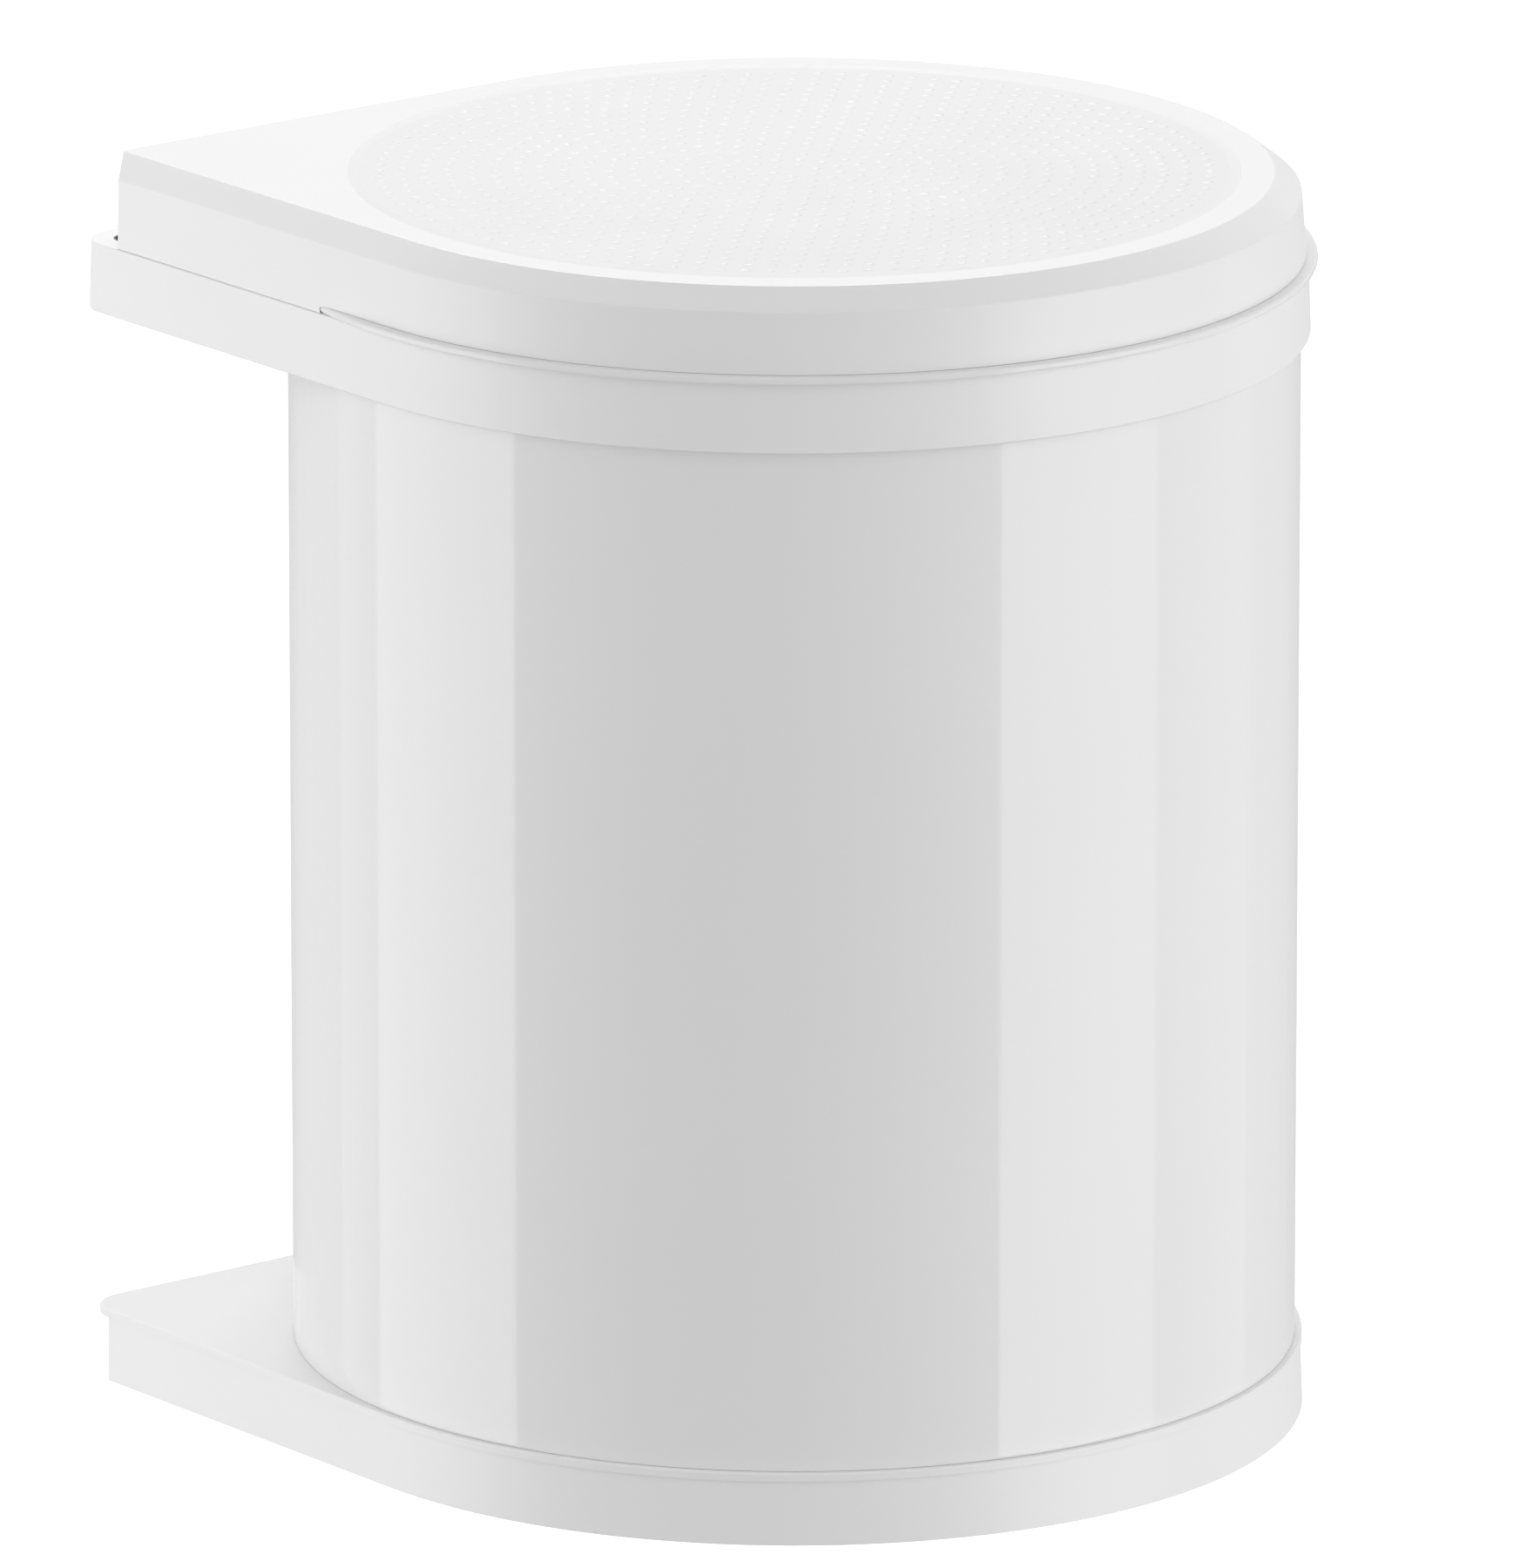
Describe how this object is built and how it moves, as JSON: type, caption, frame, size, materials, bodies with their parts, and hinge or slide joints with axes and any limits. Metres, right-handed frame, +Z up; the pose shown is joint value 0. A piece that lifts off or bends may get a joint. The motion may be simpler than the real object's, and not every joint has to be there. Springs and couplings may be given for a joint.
{
  "type": "built-in cabinet bin",
  "caption": "Round swing-out kitchen cabinet bin: white steel bucket between a plastic base and ring, with an inner bin and a dotted lid that a fixed cam lifts as the bin swings out.",
  "frame": {"origin": "middle of the four wall screw holes, on the back face of the wall bracket", "axes": "-X into the cabinet's side wall, -Y out of the cabinet through its door, +Z up"},
  "size_m": [0.2835, 0.2818, 0.3442],
  "materials": {
    "white_plastic": "satin white ABS",
    "coated_steel": "glossy white powder coat",
    "grey_plastic": "grey polypropylene",
    "dark_plastic": "black acetal",
    "zinc_steel": "zinc-plated sheet",
    "steel": "plain bright steel",
    "rubber": "soft grey rubber"
  },
  "bodies": {
    "fixed_bracket": {"wall_bracket": "zinc_steel", "upper_pivot_pin": "steel", "lower_pivot_pin": "steel", "pivot_washer": "steel", "pivot_screw": "steel", "lift_cam": "dark_plastic", "cam_rivets": "steel", "closing_pads": "rubber"},
    "bin_carrier": {"ring_frame": "white_plastic", "upper_bush": "dark_plastic", "lower_bush": "dark_plastic", "hinge_pins": "steel", "lid_buffers": "rubber", "base_tray": "white_plastic", "door_rail": "white_plastic", "rail_screws": "steel", "bucket_wall": "coated_steel", "bucket_bottom": "coated_steel", "bucket_screws": "steel", "inner_bin": "grey_plastic", "bail_handle": "steel", "handle_grip": "dark_plastic"},
    "lid_body": {"lid": "white_plastic"},
    "push_rod": {"lid_lifter": "dark_plastic"}
  },
  "joints": [
    {"name": "bin_swing", "type": "hinge", "parent": "fixed_bracket", "child": "bin_carrier", "pos_m": [0.0156, -0.127, 0], "axis": [0, 0, -1], "range_deg": [0, 90]},
    {"name": "lid_tilt", "type": "hinge", "parent": "bin_carrier", "child": "lid_body", "pos_m": [0.0034, -0.0698, 0.1595], "axis": [0, -1, 0], "range_deg": [0, 42]},
    {"name": "push_rod_slide", "type": "slide", "parent": "bin_carrier", "child": "push_rod", "axis": [0, 0, 1], "range_m": [0, 0.01123]}
  ],
  "couplings": [
    {"joint": "lid_tilt", "follows": "bin_swing", "ratio": 0.46667},
    {"joint": "push_rod_slide", "follows": "bin_swing", "m_per_rad": 0.0071487}
  ]
}
